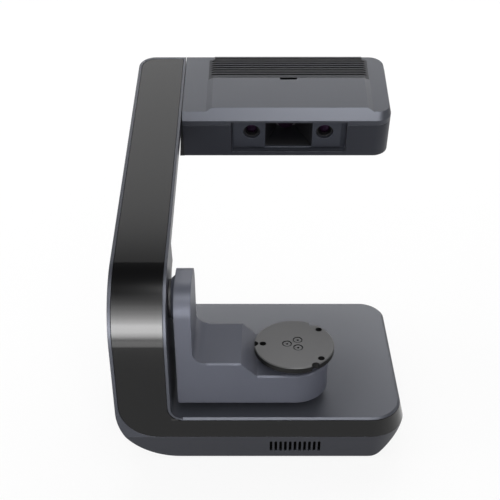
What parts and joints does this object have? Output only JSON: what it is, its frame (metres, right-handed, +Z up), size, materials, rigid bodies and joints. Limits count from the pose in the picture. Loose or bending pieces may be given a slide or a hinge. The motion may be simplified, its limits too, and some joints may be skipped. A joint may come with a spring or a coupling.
{
  "type": "desktop 3d scanner",
  "caption": "Desktop 3D scanner: a bent arm carries a camera and projector head over a turntable in a cradle that swings, on a wide weighted base.",
  "frame": {"origin": "on the table, under the middle of the whole machine's box", "axes": "+X to the operator's right, +Y to the back where the head is, +Z up"},
  "size_m": [0.2764, 0.3672, 0.2865],
  "materials": {
    "shell_grey": "satin moulded plastic, dark grey",
    "cradle_grey": "satin moulded plastic, dark bluish grey",
    "piano_black": "high-gloss black",
    "dark_plastic": "matt black plastic",
    "window_grey": "matt dark grey plastic",
    "foot_rubber": "black rubber",
    "disc_black": "black anodised",
    "bare_steel": "bare steel",
    "plain_aluminium": "as cut",
    "cast_aluminium": "die cast",
    "black_steel": "black screws",
    "lens_glass": "coated lens",
    "board_green": "circuit board",
    "belt_rubber": "toothed belt",
    "motor_black": "motor body"
  },
  "bodies": {
    "base": {"main_shell": "shell_grey", "gloss_trim": "piano_black", "arm_back_cover": "shell_grey", "base_tub": "shell_grey", "ballast_plate": "bare_steel", "foot_1": "foot_rubber", "foot_2": "foot_rubber", "foot_3": "foot_rubber", "foot_4": "foot_rubber", "base_screws": "black_steel", "main_board": "board_green", "socket_panel": "dark_plastic", "power_inlet": "dark_plastic", "usb_socket": "bare_steel", "arm_frame": "cast_aluminium", "frame_screws": "black_steel", "swing_belt": "belt_rubber", "swing_motor": "motor_black", "swing_bearings": "bare_steel", "head_top_cover": "shell_grey", "head_lower_case": "shell_grey", "head_screws": "black_steel", "window_bezel": "window_grey", "projector_hood": "dark_plastic", "camera_left": "dark_plastic", "camera_lens_left": "lens_glass", "camera_right": "dark_plastic", "camera_lens_right": "lens_glass", "projector_lens": "lens_glass", "projector_engine": "plain_aluminium", "optics_bracket": "plain_aluminium", "head_beam": "plain_aluminium", "neck_spacer": "dark_plastic", "heat_sink": "plain_aluminium", "fan_frame": "dark_plastic", "head_board": "board_green"},
    "cradle": {"swing_pulley": "dark_plastic", "swing_shell": "cradle_grey", "swing_bottom_cover": "cradle_grey", "cover_screws": "black_steel", "swing_bracket": "bare_steel", "swing_shaft": "bare_steel", "swing_collar": "dark_plastic", "spindle_housing": "plain_aluminium", "spindle_bearings": "bare_steel", "turntable_belt": "belt_rubber", "turntable_motor": "motor_black"},
    "turntable": {"spindle": "bare_steel", "spindle_pulley": "dark_plastic", "turntable_disc": "disc_black", "disc_screws": "black_steel"},
    "turntable_drive": {"turntable_motor_pulley": "dark_plastic", "turntable_motor_shaft": "bare_steel"},
    "swing_drive": {"swing_motor_pulley": "dark_plastic", "swing_motor_shaft": "bare_steel"},
    "fan": {"fan_rotor": "dark_plastic"},
    "vent_lid": {"vent_cover": "shell_grey", "vent_pin": "bare_steel"},
    "button": {"power_button": "dark_plastic"}
  },
  "joints": [
    {"name": "cradle_swing", "type": "hinge", "parent": "base", "child": "cradle", "pos_m": [-0.07975, -0.13807, 0.161], "axis": [1, 0, 0], "range_deg": [-60, 45]},
    {"name": "turntable_turn", "type": "hinge", "parent": "cradle", "child": "turntable", "pos_m": [0.02965, -0.13807, 0.109], "axis": [0, 0, 1], "continuous": true},
    {"name": "turntable_motor_turn", "type": "hinge", "parent": "cradle", "child": "turntable_drive", "pos_m": [-0.03975, -0.13807, 0.07], "axis": [0, 0, 1], "continuous": true},
    {"name": "swing_motor_turn", "type": "hinge", "parent": "base", "child": "swing_drive", "pos_m": [-0.11805, -0.13357, 0.034], "axis": [1, 0, 0], "range_deg": [-203, 152]},
    {"name": "fan_turn", "type": "hinge", "parent": "base", "child": "fan", "pos_m": [0.0262, 0.14322, 0.26716], "axis": [0, -0.2689, 0.9632], "continuous": true},
    {"name": "vent_lid_hinge", "type": "hinge", "parent": "base", "child": "vent_lid", "pos_m": [0.02975, 0.16467, 0.28145], "axis": [-1, 0, 0], "range_deg": [0, 75]},
    {"name": "power_press", "type": "slide", "parent": "base", "child": "button", "axis": [0, -1, 0], "range_m": [0, 0.0015], "stiffness_N_per_m": 300, "springref_m": -0.001}
  ],
  "couplings": [
    {"joint": "turntable_motor_turn", "follows": "turntable_turn", "ratio": 3.3333},
    {"joint": "swing_motor_turn", "follows": "cradle_swing", "ratio": 3.375}
  ]
}
